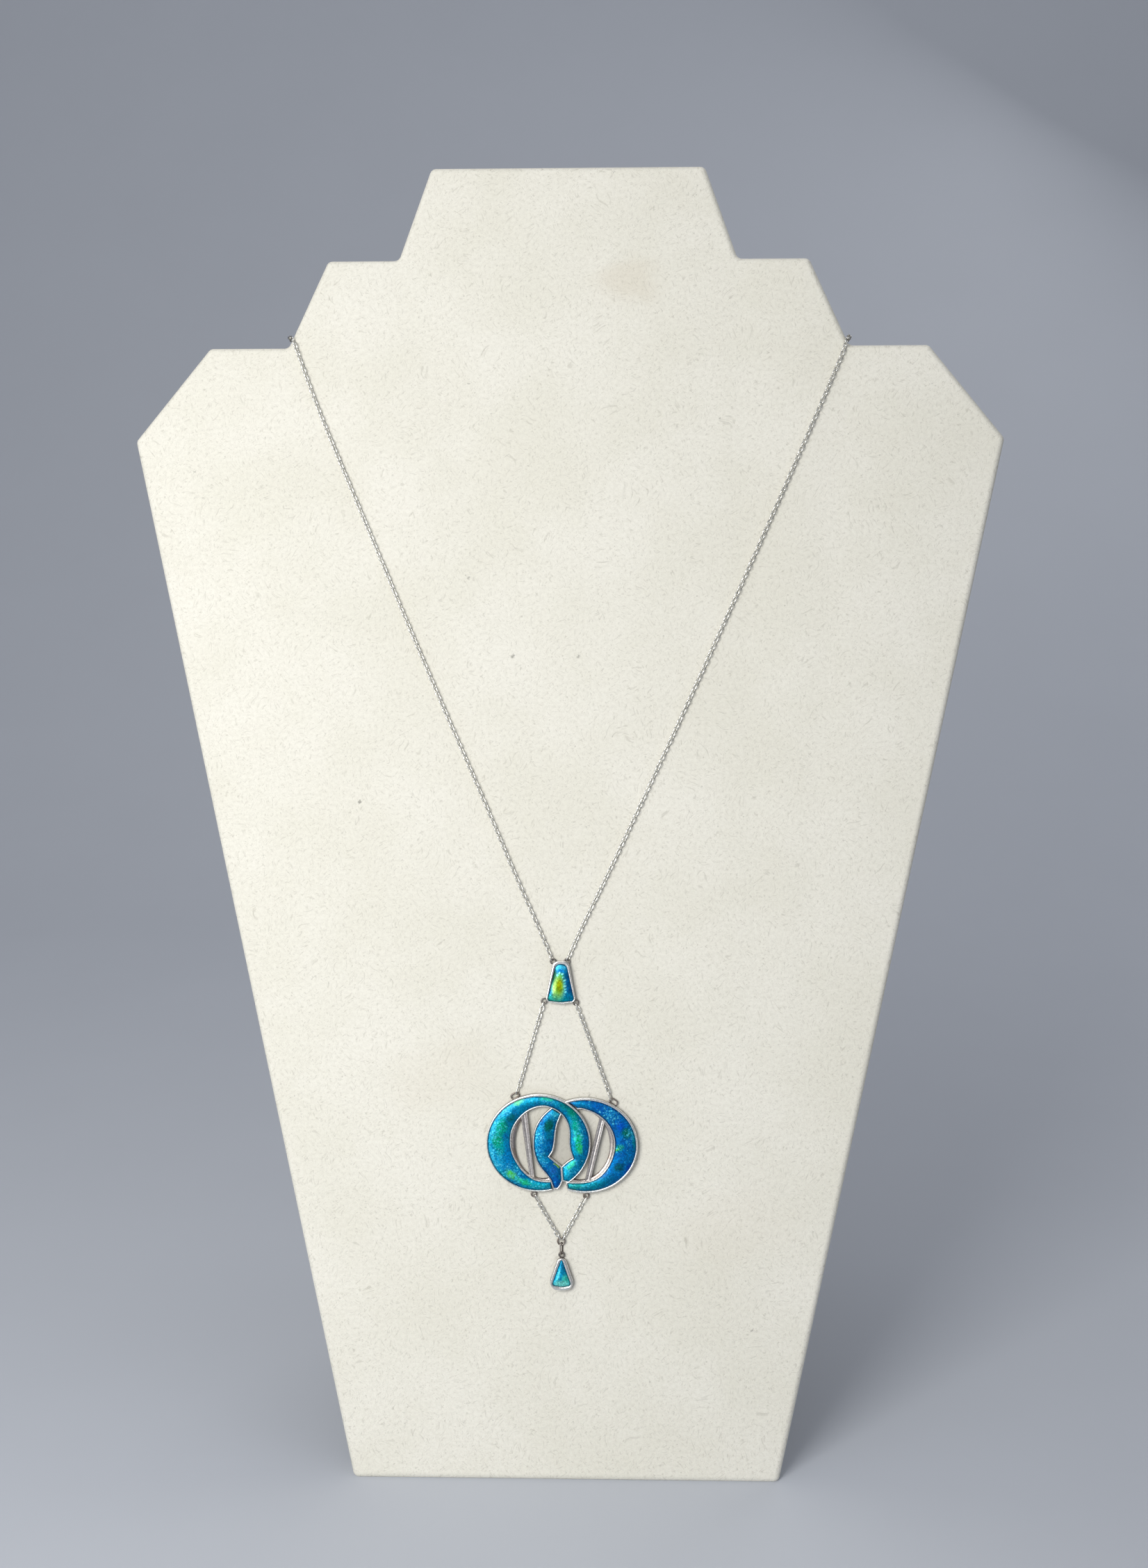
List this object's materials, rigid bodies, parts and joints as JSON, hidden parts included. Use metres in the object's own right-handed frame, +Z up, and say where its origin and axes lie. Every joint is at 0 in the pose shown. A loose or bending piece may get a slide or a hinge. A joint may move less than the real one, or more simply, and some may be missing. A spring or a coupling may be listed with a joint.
{
  "type": "enamel necklace on neck display board",
  "caption": "Necklace with an enamel connector, a plaque of interlaced enamel rings and a pear-shaped enamel drop on fine trace chains, hung on a flat velvet neck display board.",
  "frame": {"origin": "middle of the footprint on the floor, between the board's foot and the prop's foot", "axes": "+Z up, +X to the right of a person who looks at the velvet front, the front faces -Y"},
  "size_m": [0.2066, 0.1168, 0.3006],
  "materials": {
    "velvet": "short-pile cream velvet",
    "backing": "plain cloth over stiff card",
    "silver": "polished silver, a little tarnished in the corners",
    "enamel_blue": "translucent glass enamel in blue with green patches over hammered silver",
    "enamel_royal": "translucent glass enamel in royal blue over hammered silver",
    "enamel_teal": "translucent glass enamel, blue with an olive-yellow middle",
    "enamel_sky": "translucent glass enamel in sky blue"
  },
  "bodies": {
    "root": {"display_board": "velvet", "easel_strut": "backing", "neck_chain_left": "silver", "neck_chain_right": "silver", "clasp": "silver", "connector_frame": "silver", "connector_enamel": "enamel_teal", "side_chain_left": "silver", "side_chain_right": "silver", "plaque_frame": "silver", "enamel_left_ring": "enamel_blue", "enamel_right_ring": "enamel_royal", "enamel_centre_limb": "enamel_blue", "lower_chain_left": "silver", "lower_chain_right": "silver", "centre_ring": "silver", "drop_bail": "silver", "drop_frame": "silver", "drop_enamel": "enamel_sky"}
  },
  "joints": []
}
